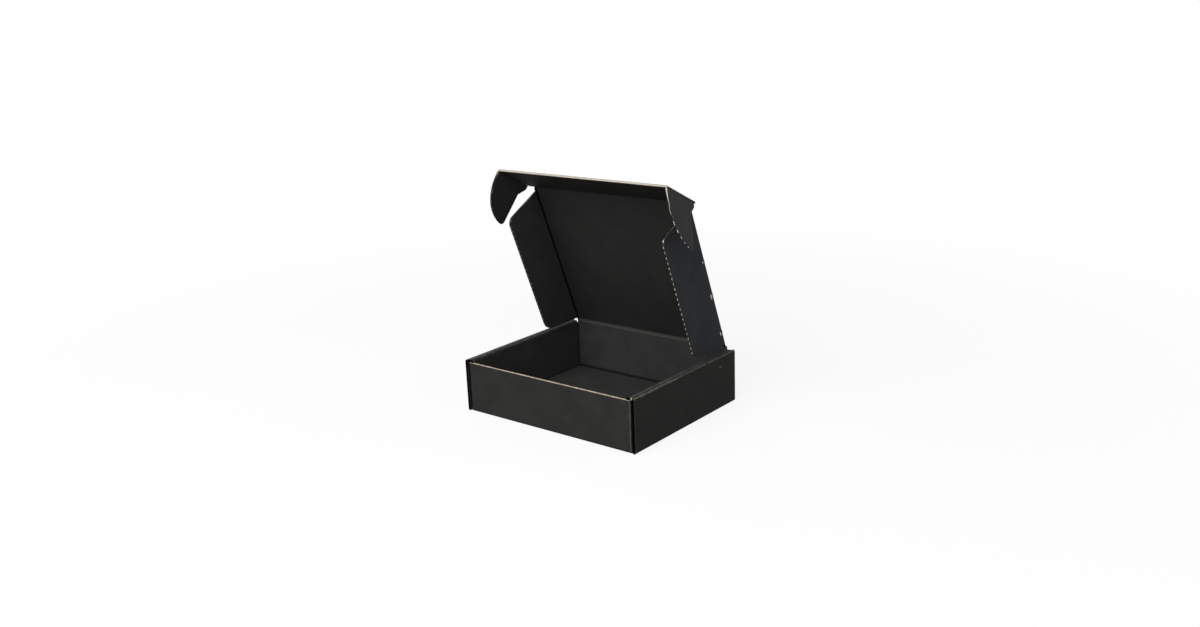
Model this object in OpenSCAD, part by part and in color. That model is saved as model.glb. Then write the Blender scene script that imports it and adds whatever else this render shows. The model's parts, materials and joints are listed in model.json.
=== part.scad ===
// Corrugated mailer box, die-cut and folded from sheet board: a tray with rolled-over side
// walls, and a lid that turns on the top edge of the back wall. The lid carries two side
// flaps and a front tuck with two lock ears. Units are millimetres. Z is up, X runs from the
// left side wall to the right one, and Y from the front wall to the back wall. The origin is
// the middle of the underside.

/* [Box] */
// Width over the outer side walls
box_w = 238; // [200:1:300]
// Depth from the front edges of the side walls to the back of the back wall
box_d = 190; // [160:1:240]
// Height of the side walls up to the top of the rim
box_h = 61; // [52:1:80]
// Thickness of the board
board = 2.4; // [2:0.1:3]

/* [Front wall] */
// How far the front wall stands behind the front edges of the side walls
front_back = 0.4; // [0:0.1:5]
// How far the top edge of the front wall lies below the rim
front_drop = 3.2; // [3.1:0.1:8]

/* [Side walls] */
// Free room beside each lock ear, on both of its faces, in the slot of the side wall
slot_play = 0.3; // [0.2:0.05:0.6]
// Length of the corner flaps that the front and back walls send into the side walls
corner_flap = 62; // [45:1:68]
// Width of each lock tab under the inner side walls
tab_w = 26; // [14:1:36]
// Distance of each lock tab's centre from the middle of the depth
tab_at = 42; // [25:1:52]
// Free room round a lock tab in its floor slot
tab_play = 0.5; // [0.3:0.1:0.9]

/* [Lid] */
// Opening angle of the lid, counted from closed
lid_open = 69; // [62:0.5:100]
// Free room between the closed lid and the rim, and between the tuck and the front edges
lid_play = 0.3; // [0.2:0.05:0.8]
// Depth of the side flaps below the inner face of the lid
flap_h = 56; // [40:1:57]
// Free room between each side flap and the inner side wall
flap_play = 0.5; // [0.3:0.1:2]
// Free room between the side flap's end beside the tuck and the front wall that it swings past
flap_front_play = 0.3; // [0.2:0.05:0.8]
// Lean of the side flap's end beside the tuck
flap_front_lean = 7.5; // [2:0.5:14]
// Lean of the side flap's end beside the back wall
flap_back_lean = 20; // [19:0.5:28]
// Corner radius of the side flaps beside the tuck
flap_front_r = 9; // [4:0.5:16]
// Corner radius of the side flaps beside the back wall
flap_back_r = 14; // [4:0.5:20]

/* [Tuck and ears] */
// Height of the tuck from the lid fold to its free edge
tuck_h = 57; // [40:1:58]
// Fold of the tuck out of the plane of the lid
tuck_fold = 42.4; // [30:0.1:50]
// Fold of the lock ears out of the plane of the tuck
ear_fold = 70; // [60:0.5:74]
// Height at which the ears start above the lid fold
ear_start = 4.6; // [4.5:0.1:8]
// Distance of the ear tip's corner from the line of the lid fold
ear_tip = 9; // [8:0.5:24]
// Corner radius of the ear tip
ear_tip_r = 4; // [2:0.5:7]

/* [Board section] */
// Distance from one flute to the next
flute_pitch = 6.5; // [5.5:0.1:9]
// Thickness of each flat liner
liner = 0.42; // [0.3:0.02:0.6]
// Thickness of the wavy sheet between the liners
medium = 0.4; // [0.3:0.02:0.6]
// Length of crushed board beside a fold, where the flutes are closed
crush = 3.5; // [2.5:0.5:6]
// Free gap between a folded panel and the round edge that it turns on
fold_gap = 0.12; // [0.05:0.01:0.2]

/* [Hidden] */
$fn = 48;
eps = 0.01;
half = board / 2;
// Start of a panel from the axis of the fold that it turns on
fold = half + fold_gap;
skin = "#2a2a29";

// Side wall, from the outside in: outer wall, ear slot, corner flap, inner wall
slot_w = board + 2 * slot_play;
slot_out_x = box_w / 2 - board;
slot_in_x = slot_out_x - slot_w;
cavity_x = slot_in_x - 2 * board;

// Front and back walls
front_y = -box_d / 2 + front_back;
front_top = box_h - front_drop;
back_y = box_d / 2;

// Lid hinge, on the middle of the back wall's board, and the fold of the tuck
hinge_y = back_y - half;
hinge_z = box_h + lid_play + half;
lid_len = hinge_y + box_d / 2 + lid_play + half;
flap_out_x = cavity_x - flap_play;
flap_in_x = flap_out_x - board;
ear_x = slot_out_x - slot_play - half;

// Side flap outline, from the hinge and from the inner face of the lid. The rounded front
// corner swings down past the top edge of the front wall, so it stays within flap_reach of
// the hinge.
flap_back_u = 4;
front_gap = hinge_y - front_y - board - flap_front_play;
flap_reach = norm([hinge_y - front_y - board, hinge_z - front_top]) - flap_front_play;
flap_arc_u = sqrt(pow(flap_reach - flap_front_r, 2) - pow(flap_h - flap_front_r + half, 2));
flap_front_u = min(front_gap, flap_arc_u + (flap_h - flap_front_r) * tan(flap_front_lean)
                              + flap_front_r / cos(flap_front_lean));
flap_steps = floor((flap_front_u - flap_back_u) / flute_pitch);

// Relief of the ears beside the lid fold: it lets the splayed ears pass outside the side
// walls, and clear of their front edges, while the lid comes down. It runs from the ear's
// start out to the point where the ear has left the side wall behind.
splay = 90 - ear_fold;
relief_lean = cos(splay) * tan(tuck_fold);
relief_foot = (half - lid_play) / cos(tuck_fold);
relief_e = (box_w / 2 + lid_play - ear_x + half * cos(splay)) / sin(splay);
relief_s = relief_e * relief_lean - relief_foot;
relief_start_e = (ear_start + relief_foot) / relief_lean;
ear_tip_e = sqrt(tuck_h * tuck_h - ear_tip * ear_tip);

// Sliver between a sharp corner and the arc of radius r that rounds it. a and b are points
// further along its two sides, on the way round the outline.
module corner_sliver(a, p, b, r) {
    da = (a - p) / norm(a - p);
    db = (b - p) / norm(b - p);
    turn = acos(da * db) / 2;
    mid = (da + db) / norm(da + db);
    c = p + mid * r / sin(turn);
    cut = r / tan(turn);
    difference() {
        polygon([p - mid * r, p + da * cut, c, p + db * cut]);
        translate(c) circle(r);
    }
}

// One quarter of a disc in the corner of the positive axes
module quarter(r) {
    intersection() {
        circle(r);
        square(r);
    }
}

// Section of a side wall on the right, seen from the front: up the outside, over the rim and
// down the inside, with round folds
module outer_wall_section() {
    translate([slot_out_x, board]) square([board, box_h - 2 * board]);
    translate([slot_out_x, board]) mirror([0, 1]) quarter(board);
    translate([slot_out_x, box_h - board]) quarter(board);
}

module rolled_section() {
    translate([cavity_x + board, box_h - board]) square([slot_out_x - cavity_x - board, board]);
    translate([cavity_x + board, box_h - board]) mirror([1, 0]) quarter(board);
    translate([cavity_x, board - eps]) square([board, box_h - 2 * board + eps]);
}

// Turns a section drawn in X and Z into a bar that runs along Y
module along_y(y0, y1) {
    translate([0, y1, 0]) rotate([90, 0, 0]) linear_extrude(y1 - y0) children();
}

module side_wall() {
    along_y(-box_d / 2, back_y) outer_wall_section();
    along_y(-box_d / 2 + lid_play + half, back_y - board - 1) rolled_section();
    for (s = [-1, 1]) translate([cavity_x, s * tab_at - tab_w / 2, 0]) cube([board, tab_w, board + 1]);
}

// Plan of a front or back wall with its two corner flaps folded into the side walls. The
// wall's outer face lies on the X axis between -x and x, and the flaps point to positive Y.
module wall_plan(x, flap_l) {
    translate([-x + board, 0]) square([2 * (x - board), board]);
    for (m = [0, 1]) mirror([m, 0]) {
        translate([x - board, board]) mirror([0, 1]) quarter(board);
        translate([x - board, board]) square([board, flap_l - board]);
    }
}

module front_wall() {
    translate([0, front_y, board]) linear_extrude(front_top - board) wall_plan(slot_in_x, corner_flap);
    translate([-slot_in_x, front_y + board, board]) rotate([90, 0, 90]) linear_extrude(2 * slot_in_x)
        rotate([0, 0, 180]) quarter(board);
}

module back_wall() {
    translate([0, back_y, 0]) mirror([0, 1, 0]) {
        translate([0, 0, board]) linear_extrude(front_top - board) wall_plan(slot_out_x, corner_flap);
        // middle of the wall, up to the hinge
        translate([-cavity_x, 0, board]) cube([2 * cavity_x, board, hinge_z - board]);
        translate([-slot_out_x, board, board]) rotate([90, 0, 90]) linear_extrude(2 * slot_out_x)
            rotate([0, 0, 180]) quarter(board);
    }
    translate([-cavity_x, hinge_y, hinge_z]) rotate([0, 90, 0]) cylinder(h = 2 * cavity_x, r = half);
}

module floor_panel() {
    difference() {
        translate([-slot_out_x, front_y + board, 0])
            cube([2 * slot_out_x, back_y - front_y - 2 * board, board]);
        for (m = [-1, 1]) for (s = [-1, 1])
            translate([m * (cavity_x + half) - half - tab_play, s * tab_at - tab_w / 2 - tab_play, -1])
                cube([board + 2 * tab_play, tab_w + 2 * tab_play, board + 2]);
    }
}

module tray() {
    color(skin) {
        floor_panel();
        for (m = [0, 1]) mirror([m, 0, 0]) side_wall();
        front_wall();
        back_wall();
    }
}

// Places what is drawn in the closed lid's frame: origin on the hinge, the tuck to negative Y,
// the inner face down
module on_lid() {
    translate([0, hinge_y, hinge_z]) rotate([-lid_open, 0, 0]) children();
}

// The tuck's frame: origin on the lid fold, the free edge to negative Y, the inner face down
module on_tuck() {
    on_lid() translate([0, -lid_len, 0]) rotate([tuck_fold, 0, 0]) children();
}

module lid() {
    color(skin) on_lid() {
        translate([-flap_in_x, -lid_len, -half]) cube([2 * flap_in_x, lid_len - fold, board]);
        // round edge that the tuck turns on
        translate([-flap_in_x, -lid_len, 0]) rotate([0, 90, 0]) cylinder(h = 2 * flap_in_x, r = half);
        // round edges that the side flaps turn on
        for (m = [0, 1]) mirror([m, 0, 0]) translate([flap_in_x, 0, -half]) {
            along_y(-lid_len, -fold) quarter(board);
            along_y(-lid_len + fold, -flap_back_u + 1) mirror([0, 1]) quarter(board);
        }
    }
}

// Wavy inside of the board, seen along the flutes: the openings between the liners and the
// medium, for n flutes along X, with the board's thickness along Y from 0
module flute_openings(n) {
    deep = board - 2 * liner;
    side = deep - medium;
    for (k = [0:n - 1]) {
        x = k * flute_pitch;
        translate([x, liner]) polygon([[medium, 0], [flute_pitch - medium, 0],
            [flute_pitch * 0.66, side * 0.72], [flute_pitch * 0.5, side], [flute_pitch * 0.34, side * 0.72]]);
        if (k < n - 1) translate([x + flute_pitch / 2, board - liner]) polygon([[medium, 0],
            [flute_pitch * 0.34, -side * 0.72], [flute_pitch * 0.5, -side], [flute_pitch * 0.66, -side * 0.72],
            [flute_pitch - medium, 0]]);
    }
}

// Outline of a side flap: X counts from the hinge towards the tuck and Y down from the lid's
// inner face
module flap_outline() {
    top = fold_gap;
    p0 = [flap_back_u, top];
    p1 = [flap_back_u + flap_h * tan(flap_back_lean), flap_h];
    p2 = [flap_front_u - flap_h * tan(flap_front_lean), flap_h];
    p3 = [flap_front_u, top];
    difference() {
        polygon([p0, p1, p2, p3]);
        corner_sliver(p0, p1, p2, flap_back_r);
        corner_sliver(p1, p2, p3, flap_front_r);
    }
}

// Right side flap, folded square to the lid. Its flutes run down from the fold to the free edge.
module side_flap() {
    on_lid() translate([flap_in_x, 0, -half]) difference() {
        rotate([0, 90, 0]) rotate([0, 0, -90]) linear_extrude(board) flap_outline();
        translate([0, 1, 0]) rotate([90, 0, 0]) cylinder(h = lid_len, r = board + fold_gap);
        translate([0, -flap_back_u - flute_pitch / 2, -crush - board]) mirror([0, 0, 1])
            linear_extrude(flap_h) rotate([0, 0, -90]) flute_openings(flap_steps);
    }
}

module lid_side_flap_right() { color(skin) side_flap(); }
module lid_side_flap_left() { color(skin) mirror([1, 0, 0]) side_flap(); }

module tuck_flap() {
    color(skin) on_tuck() {
        translate([-ear_x, -tuck_h, -half]) cube([2 * ear_x, tuck_h - fold, board]);
        // round edges that the ears turn on
        for (m = [-1, 1]) translate([m * ear_x, -fold, 0]) rotate([90, 0, 0])
            cylinder(h = tuck_h - fold, r = half);
    }
}

// Outline of an ear: X counts from the fold of the lid towards the free edge of the tuck, and
// Y out from the fold of the ear. The free side is an arc about the corner of the two folds,
// and a small arc that touches it and the straight side from the knee rounds the tip.
module ear_outline() {
    root = [ear_start, fold];
    shoulder = [ear_start, min(relief_start_e, relief_e)];
    knee = [max(relief_s, ear_start), relief_e];
    tip = [ear_tip, ear_tip_e];
    way = (tip - knee) / norm(tip - knee);
    side = [way[1], -way[0]];
    // centre of the small arc: ear_tip_r inside the straight side and inside the large arc
    start = knee + side * ear_tip_r;
    along = -start * way + sqrt(pow(start * way, 2) - start * start
                                + pow(tuck_h - ear_tip_r, 2));
    c = start + way * along;
    out = c / norm(c);
    difference() {
        intersection() {
            circle(tuck_h, $fn = 120);
            polygon([root, shoulder, knee, knee + way * 2 * tuck_h, [2 * tuck_h, 2 * tuck_h],
                     [2 * tuck_h, fold]]);
        }
        difference() {
            polygon([c, c - side * ear_tip_r, c - side * ear_tip_r + (way - side) * ear_tip_r * 2,
                     c + out * (ear_tip_r + 2)]);
            translate(c) circle(ear_tip_r);
        }
    }
}

module ear() {
    n = floor((tuck_h - ear_start) / flute_pitch);
    on_tuck() translate([ear_x, 0, 0]) rotate([0, ear_fold, 0]) difference() {
        translate([0, 0, -half]) rotate([0, 0, -90]) linear_extrude(board) ear_outline();
        translate([crush, -ear_start - 1, -half]) rotate([90, 0, 90]) linear_extrude(tuck_h)
            mirror([1, 0]) flute_openings(n);
    }
}

module lock_ear_right() { color(skin) ear(); }
module lock_ear_left() { color(skin) mirror([1, 0, 0]) ear(); }

tray();
lid();
lid_side_flap_left();
lid_side_flap_right();
tuck_flap();
lock_ear_left();
lock_ear_right();
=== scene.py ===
# %% [markdown]
# # A black corrugated mailer box
#
# The real box is one sheet of corrugated board: two black paper liners with a wavy brown
# medium glued between them. It is die-cut, creased and folded into a tray with a hinged lid.
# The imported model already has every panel, fold and cut at its real size, so this lesson
# leaves the shapes alone and works on what the eye reads as board: black paper with a faint
# ripple from the flutes, brown raw edges, rubbed creases and paper skin over each fold.

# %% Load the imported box
import json
import math

import bmesh
import bpy
import numpy as np
from mathutils import Matrix, Vector


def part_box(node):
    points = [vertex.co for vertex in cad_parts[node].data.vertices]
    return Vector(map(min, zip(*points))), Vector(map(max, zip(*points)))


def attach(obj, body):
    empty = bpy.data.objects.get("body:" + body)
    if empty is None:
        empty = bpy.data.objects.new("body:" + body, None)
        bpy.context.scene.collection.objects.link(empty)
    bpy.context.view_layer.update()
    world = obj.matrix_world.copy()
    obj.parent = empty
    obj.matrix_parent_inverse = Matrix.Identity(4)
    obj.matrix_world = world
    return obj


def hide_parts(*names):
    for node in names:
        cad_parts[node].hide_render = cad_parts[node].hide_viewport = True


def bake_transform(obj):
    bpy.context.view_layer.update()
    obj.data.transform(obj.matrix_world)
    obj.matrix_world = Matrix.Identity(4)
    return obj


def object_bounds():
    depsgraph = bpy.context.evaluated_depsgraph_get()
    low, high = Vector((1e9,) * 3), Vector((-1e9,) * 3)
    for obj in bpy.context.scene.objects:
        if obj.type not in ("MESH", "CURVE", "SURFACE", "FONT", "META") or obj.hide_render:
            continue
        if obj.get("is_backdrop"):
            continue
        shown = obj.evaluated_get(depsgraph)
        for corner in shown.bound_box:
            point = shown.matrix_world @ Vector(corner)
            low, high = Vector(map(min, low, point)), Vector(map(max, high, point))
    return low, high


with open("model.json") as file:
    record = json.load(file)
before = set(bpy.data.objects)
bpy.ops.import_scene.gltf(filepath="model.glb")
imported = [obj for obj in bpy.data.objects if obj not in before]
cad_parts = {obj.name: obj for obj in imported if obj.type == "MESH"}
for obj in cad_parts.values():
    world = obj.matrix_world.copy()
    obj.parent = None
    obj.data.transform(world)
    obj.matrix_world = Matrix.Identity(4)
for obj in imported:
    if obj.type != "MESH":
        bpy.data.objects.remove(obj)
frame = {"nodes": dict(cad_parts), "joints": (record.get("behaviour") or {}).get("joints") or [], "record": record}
packed_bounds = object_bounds()
joint = {j["name"]: j for j in frame["joints"]}
members_of_body = frame["record"]["behaviour"]["bodies"]
body_of_node = {n: body for body, members in members_of_body.items() for n in members}
print("nodes:", ", ".join(sorted(frame["nodes"])))
print("joints:", ", ".join(sorted(joint)))

# %% [markdown]
# ## Directions of the panels
#
# A folded sheet is easiest to dress panel by panel, in each panel's own directions. They
# could be typed in as angles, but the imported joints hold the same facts: every fold is a
# joint with a point and an axis. Reading them keeps the looks in line with the joints.

# %% Work out where the lid, the tuck and the ears lie
MM = 0.001
X = Vector((1, 0, 0))

hinge = Vector(joint["lid_hinge"]["pos_m"])
lid_fold = Vector(joint["tuck_fold"]["pos_m"])
lid_way = (lid_fold - hinge).normalized()
lid_in = X.cross(lid_way)
tuck_way = Vector(joint["ear_fold_right"]["axis"])
tuck_in = X.cross(tuck_way)
ear_angle = math.radians(joint["ear_fold_right"]["range_deg"][1])
flap_pivot_x = joint["flap_fold_right"]["pos_m"][0]
ear_pivot_x = joint["ear_fold_right"]["pos_m"][0]


def ear_way(side):
    """From the ear's fold to its tip. side is 1 on the right and -1 on the left."""
    return X * side * math.cos(ear_angle) + tuck_in * math.sin(ear_angle)


def ear_out(side):
    """Away from the box, square to the ear."""
    return X * side * math.sin(ear_angle) - tuck_in * math.cos(ear_angle)


lid_length = (lid_fold - hinge).length
opened = math.degrees(math.acos(-lid_way.y))
print(f"lid {lid_length / MM:.1f} mm long, opened to {opened:.1f} degrees")

# %% [markdown]
# ## Short words for nodes and objects
#
# Node trees written in Python soon drown in boilerplate. A few helpers keep the later cells
# readable: one adds a node and fills its sockets, others make a sum, a smooth step, a noise
# or a mix, and one makes a group with named inputs and outputs, because several papers
# share the same grain and the same rub. The last two make a material and an object.


# %% Helpers for nodes and objects
def plug(tree, value, socket):
    """Links a socket to a socket, or sets a plain value."""
    if isinstance(value, bpy.types.NodeSocket):
        tree.links.new(value, socket)
    else:
        socket.default_value = value


def add(tree, kind, values=(), **settings):
    """A new node. values maps input names or numbers to plain values or to sockets."""
    node = tree.nodes.new(kind)
    for name, setting in settings.items():
        setattr(node, name, setting)
    for name, value in dict(values).items():
        plug(tree, value, node.inputs[name])
    return node


def calc(tree, operation, *values):
    return add(tree, "ShaderNodeMath", dict(enumerate(values)), operation=operation).outputs[0]


def step(tree, value, low, high, to_low=0.0, to_high=1.0):
    """Runs smoothly from to_low at low to to_high at high."""
    ends = {0: value, 1: low, 2: high, 3: to_low, 4: to_high}
    return add(tree, "ShaderNodeMapRange", ends, interpolation_type="SMOOTHSTEP").outputs[0]


def scaled(tree, vector, factor):
    values = {0: vector, "Scale": factor}
    return add(tree, "ShaderNodeVectorMath", values, operation="SCALE").outputs[0]


def noise(tree, vector, scale, detail, roughness=0.5, distortion=0.0):
    values = {"Vector": vector, "Scale": scale, "Detail": detail, "Roughness": roughness,
              "Distortion": distortion}
    return add(tree, "ShaderNodeTexNoise", values).outputs[0]


def blend_colour(tree, share, a, b):
    return add(tree, "ShaderNodeMix", {0: share, 6: a, 7: b}, data_type="RGBA").outputs[2]


def group(name, kind, inputs, outputs):
    """An empty group with named sockets: its tree, its inputs by name and its output node."""
    tree = bpy.data.node_groups.new(name, kind)
    for label, (socket, value) in inputs.items():
        made = tree.interface.new_socket(label, in_out="INPUT", socket_type="NodeSocket" + socket)
        if value is not None:
            made.default_value = value
    for label, socket in outputs.items():
        tree.interface.new_socket(label, in_out="OUTPUT", socket_type="NodeSocket" + socket)
    return tree, tree.nodes.new("NodeGroupInput").outputs, tree.nodes.new("NodeGroupOutput")


def place_group(tree, name, values):
    """The outputs of a shader group that is placed in a tree."""
    return add(tree, "ShaderNodeGroup", values, node_tree=bpy.data.node_groups[name]).outputs


def new_material(name):
    """A material, its node tree and its Principled shader."""
    material = bpy.data.materials.new(name)
    material.use_nodes = True
    return material, material.node_tree, material.node_tree.nodes["Principled BSDF"]


def new_object(name, data):
    made = bpy.data.objects.new(name, data)
    bpy.context.scene.collection.objects.link(made)
    return made


# %% [markdown]
# ## Paper grain
#
# Liner paper is pressed from fibres that lie mostly one way, so its tone is never quite
# even: there are fine streaks along the sheet and soft clouds a few centimetres wide. An
# image would do, but noise stretched along one direction gives the same look at any
# distance. The group reads a position on the flat sheet, so the streaks follow the flutes.

# %% Make the grain group
tree, given, result = group("paper_grain", "ShaderNodeTree", {"Sheet": ("Vector", None)},
                            {"Streaks": "Float", "Clouds": "Float"})
fibre_scale = (420.0, 1700.0, 900.0)
stretched = add(tree, "ShaderNodeVectorMath", {0: given["Sheet"], 1: fibre_scale},
                operation="MULTIPLY").outputs[0]
plug(tree, noise(tree, stretched, 1.0, 3.0, 0.6), result.inputs["Streaks"])
plug(tree, noise(tree, given["Sheet"], 34.0, 3.0, 0.55, 0.4), result.inputs["Clouds"])
print("group:", tree.name)

# %% [markdown]
# ## Rub
#
# Black paper turns grey and a little shiny where hands and other boxes rub it, first along
# the creases. Every panel and paper strip below carries a number called rub, about 1 on a
# crease and 0 away from it. A few of its lines are painted highlights as well as wear: down
# the ends of the tray's outer walls and, in part, inside the lid's hinge. Used as it is, it
# would give an even painted band, so the group breaks it up with noise.

# %% Make the rub group
RAGGED = 0.9  # how far the noise pushes the border of the rub in and out
BORDER = 0.45  # how soft that border is
tree, given, result = group("crease_rub", "ShaderNodeTree",
                            {"Sheet": ("Vector", None), "Rub": ("Float", 0.0),
                             "Reach": ("Float", 0.5)}, {"Mask": "Float"})
patches = noise(tree, given["Sheet"], 160.0, 4.0, 0.65)
push = calc(tree, "MULTIPLY", calc(tree, "SUBTRACT", patches, 0.5), RAGGED)
raised = calc(tree, "ADD", given["Rub"], push)
edge = calc(tree, "SUBTRACT", 1.0, given["Reach"])
plug(tree, step(tree, raised, edge, calc(tree, "ADD", edge, BORDER)), result.inputs["Mask"])
print("group:", tree.name)

# %% [markdown]
# ## Black liner
#
# The two outer papers of the board are dyed black and uncoated. Seen along the surface they
# show faint ridges one flute apart, because the glued crests of the medium hold the paper up
# and the paper sinks a little between them. The ridges could be real geometry, but they are
# only a few hundredths of a millimetre high, so they go into the bump.
#
# The real box has the same black paper everywhere. The soft lamps alone don't give all the
# differences between its panels that the picture shows, so groups of panels get lighter or
# darker copies of the paper here, which is painted light and painted shade.


# %% Make the black liners
FLUTE = 6.5 * MM  # from one crest of the medium to the next
RUBBED = (0.125, 0.121, 0.11)
RUBBED_COOL = (0.125, 0.125, 0.118)
BARE_KRAFT = (0.46, 0.37, 0.24, 1)
TORN_REACH = 0.6
# painted shade: along the lines of painted shade the paper's tone falls to this share
PAINTED_GROOVE_SHADE = 0.25  # what is left of the tone at the bottom of a fold


def sheet_place(tree):
    """Where a point lies on the flat sheet, in metres."""
    return add(tree, "ShaderNodeUVMap", uv_map="sheet").outputs[0]


def black_liner(name, colour, rubbed=RUBBED, reach=0.42, gloss=0.06):
    """Black paper: colour where it is clean, rubbed where it is worn. reach is how far the
    wear spreads from a crease, and gloss how strongly the paper shines."""
    material, tree, paper = new_material(name)
    sheet = sheet_place(tree)
    rub_and_highlight, chip, painted_shade = (add(tree, "ShaderNodeAttribute", attribute_name=word).outputs["Fac"]
                          for word in ("rub_and_highlight", "chip", "painted_shade"))
    streaks, clouds = place_group(tree, "paper_grain", {"Sheet": sheet})
    worn, = place_group(tree, "crease_rub", {"Sheet": sheet, "Rub": rub_and_highlight, "Reach": reach})
    torn, = place_group(tree, "crease_rub", {"Sheet": sheet, "Rub": chip, "Reach": TORN_REACH})

    tone = calc(tree, "MULTIPLY", step(tree, streaks, 0.25, 0.75, 0.86, 1.16),
                step(tree, clouds, 0.3, 0.7, 0.9, 1.1))
    # painted shade: darkens the paper along the lines that are marked on the mesh
    tone = calc(tree, "MULTIPLY", tone, step(tree, painted_shade, 0.1, 0.9, 1.0, PAINTED_GROOVE_SHADE))
    surface = blend_colour(tree, worn, scaled(tree, colour, tone), (*rubbed, 1))
    surface = blend_colour(tree, torn, surface, BARE_KRAFT)
    plug(tree, surface, paper.inputs["Base Color"])

    polish = calc(tree, "MULTIPLY", worn, 0.12)
    roughness = calc(tree, "SUBTRACT", step(tree, streaks, 0.2, 0.8, 0.66, 0.8), polish)
    plug(tree, roughness, paper.inputs["Roughness"])

    across = add(tree, "ShaderNodeSeparateXYZ", {0: sheet}).outputs[1]
    ridge = calc(tree, "SINE", calc(tree, "MULTIPLY", across, 2 * math.pi / FLUTE))
    uneven = calc(tree, "ADD", calc(tree, "MULTIPLY", streaks, 0.5),
                  calc(tree, "MULTIPLY", clouds, 1.4))
    height = calc(tree, "ADD", calc(tree, "MULTIPLY", ridge, 0.3), uneven)
    bump = add(tree, "ShaderNodeBump", {"Height": height, "Distance": 0.05 * MM,
                                        "Strength": 0.8})
    plug(tree, bump.outputs[0], paper.inputs["Normal"])
    paper.inputs["Specular IOR Level"].default_value = gloss
    return material


liner = black_liner("black_liner", (0.026, 0.0258, 0.0248))
# painted light: a lighter copy of the black paper for the inside of the tray and of the flaps
painted_light_liner = black_liner("painted_light_liner", (0.0345, 0.0343, 0.0335))
# painted light: a lighter, bluish copy of the black paper for the outer faces of the side flaps
flap_lit_liner = black_liner("flap_lit_liner", (0.0283, 0.0316, 0.0360), RUBBED_COOL)
# painted light: a lighter copy of the black paper for the outer faces of the ears
ear_lit_liner = black_liner("ear_lit_liner", (0.0400, 0.0402, 0.0400), RUBBED_COOL)
# painted light: a lighter copy like the inner back wall; its pale line along the fold is partly wear and partly
# painted highlight
hinge_lit_worn_liner = black_liner("hinge_lit_worn_liner", (0.034, 0.0338, 0.033), (0.068, 0.067, 0.063),
                          reach=0.75)
# painted shade: a darker, glossier copy of the black paper for the lid's inner face
lid_shaded_liner = black_liner("lid_shaded_liner", (0.0175, 0.0174, 0.0168), gloss=0.15)
# painted shade: a darker copy of the black paper for the outer side walls
side_wall_shaded_liner = black_liner("side_wall_shaded_liner", (0.0195, 0.0191, 0.0182))
# painted shade: a darker copy of the black paper for the tuck's inner face
tuck_shaded_liner = black_liner("tuck_shaded_liner", (0.0155, 0.0151, 0.0142))
# painted shade: near-black paper for the slots, the ends of the outer walls and the grooves at the lid's side
# folds
painted_shade_black = black_liner("painted_shade_black", (0.0012, 0.0012, 0.001), (0.003, 0.003, 0.0026),
                        reach=0.2, gloss=0.0)
print("materials:", ", ".join(material.name for material in bpy.data.materials))

# %% [markdown]
# ## Brown raw edges
#
# Where the die cuts the board, the brown inside shows. On the flaps and ears the cut crosses
# the flutes: the two black liners end in dark lines, the medium between them is a bright
# wave, and the hollows on both sides of the wave are painted deep brown, as painted shade.
# So there is a plain torn edge, edges that are black at both liners, in a plain, a pale and
# a shaded tone, of which the shaded one is painted shade for the left side, and the inside
# of a flute. The wave is palest on the inner side of the fold, where the knife tore the
# liner off each crest, so a row of pale dots runs along the edge, one flute apart.


# %% Make the kraft papers
BOARD = 2.4 * MM
HALF = BOARD / 2
LINER = 0.42 * MM  # thickness of one black paper
TOUCH = 0.75 * MM  # where the first crest touches the inner liner, from the start of the edge
CUT_LINER = (0.022, 0.021, 0.018, 1)


def kraft(name, colour, with_liners=False, crests=(1.5, 0.2), torn_crests=True):
    """Unbleached paper. with_liners blackens the two outer lines of a cut edge, crests are
    the tones of the wave on the inner and on the outer side of the board, and torn_crests
    says whether the knife tore the liner off the crests."""
    material, tree, paper = new_material(name)
    place = add(tree, "ShaderNodeTexCoord").outputs["Object"]
    fibres = noise(tree, place, 900.0, 4.0, 0.7)
    stains = noise(tree, place, 120.0, 2.0)
    tone = calc(tree, "MULTIPLY", step(tree, fibres, 0.3, 0.7, 0.7, 1.1),
                step(tree, stains, 0.35, 0.65, 0.72, 1.08))
    bare = scaled(tree, colour, tone)
    if with_liners:
        along, side = add(tree, "ShaderNodeSeparateXYZ", {0: sheet_place(tree)}).outputs[:2]
        bare = scaled(tree, bare, step(tree, side, -0.62 * MM, 0.1 * MM, *crests))
        wobble = calc(tree, "MULTIPLY", calc(tree, "SUBTRACT", stains, 0.5), 0.5 * MM)
        off = calc(tree, "ADD", calc(tree, "ABSOLUTE", side), wobble)
        at_liner = step(tree, off, HALF - 1.25 * LINER, HALF - 0.85 * LINER)
        if torn_crests:
            turns = calc(tree, "MULTIPLY", calc(tree, "SUBTRACT", along, TOUCH),
                         2 * math.pi / FLUTE)
            touching = step(tree, calc(tree, "COSINE", turns), 0.3, 0.75)
            inside = calc(tree, "LESS_THAN", side, -0.3 * MM)
            whole = calc(tree, "SUBTRACT", 1.0, calc(tree, "MULTIPLY", touching, inside))
            at_liner = calc(tree, "MULTIPLY", at_liner, whole)
        bare = blend_colour(tree, at_liner, bare, CUT_LINER)
    plug(tree, bare, paper.inputs["Base Color"])
    bump = add(tree, "ShaderNodeBump", {"Height": fibres, "Distance": 0.12 * MM,
                                        "Strength": 0.7})
    plug(tree, bump.outputs[0], paper.inputs["Normal"])
    plug(tree, step(tree, fibres, 0.3, 0.7, 0.82, 0.94), paper.inputs["Roughness"])
    paper.inputs["Specular IOR Level"].default_value = 0.2
    return material


torn_edge = kraft("kraft_torn_edge", (0.66, 0.58, 0.43))
cut_edge = kraft("kraft_cut_edge", (0.60, 0.57, 0.48), with_liners=True)
pale_edge = kraft("kraft_pale_edge", (0.74, 0.70, 0.57), with_liners=True, crests=(1.1, 0.8),
                  torn_crests=False)
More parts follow.
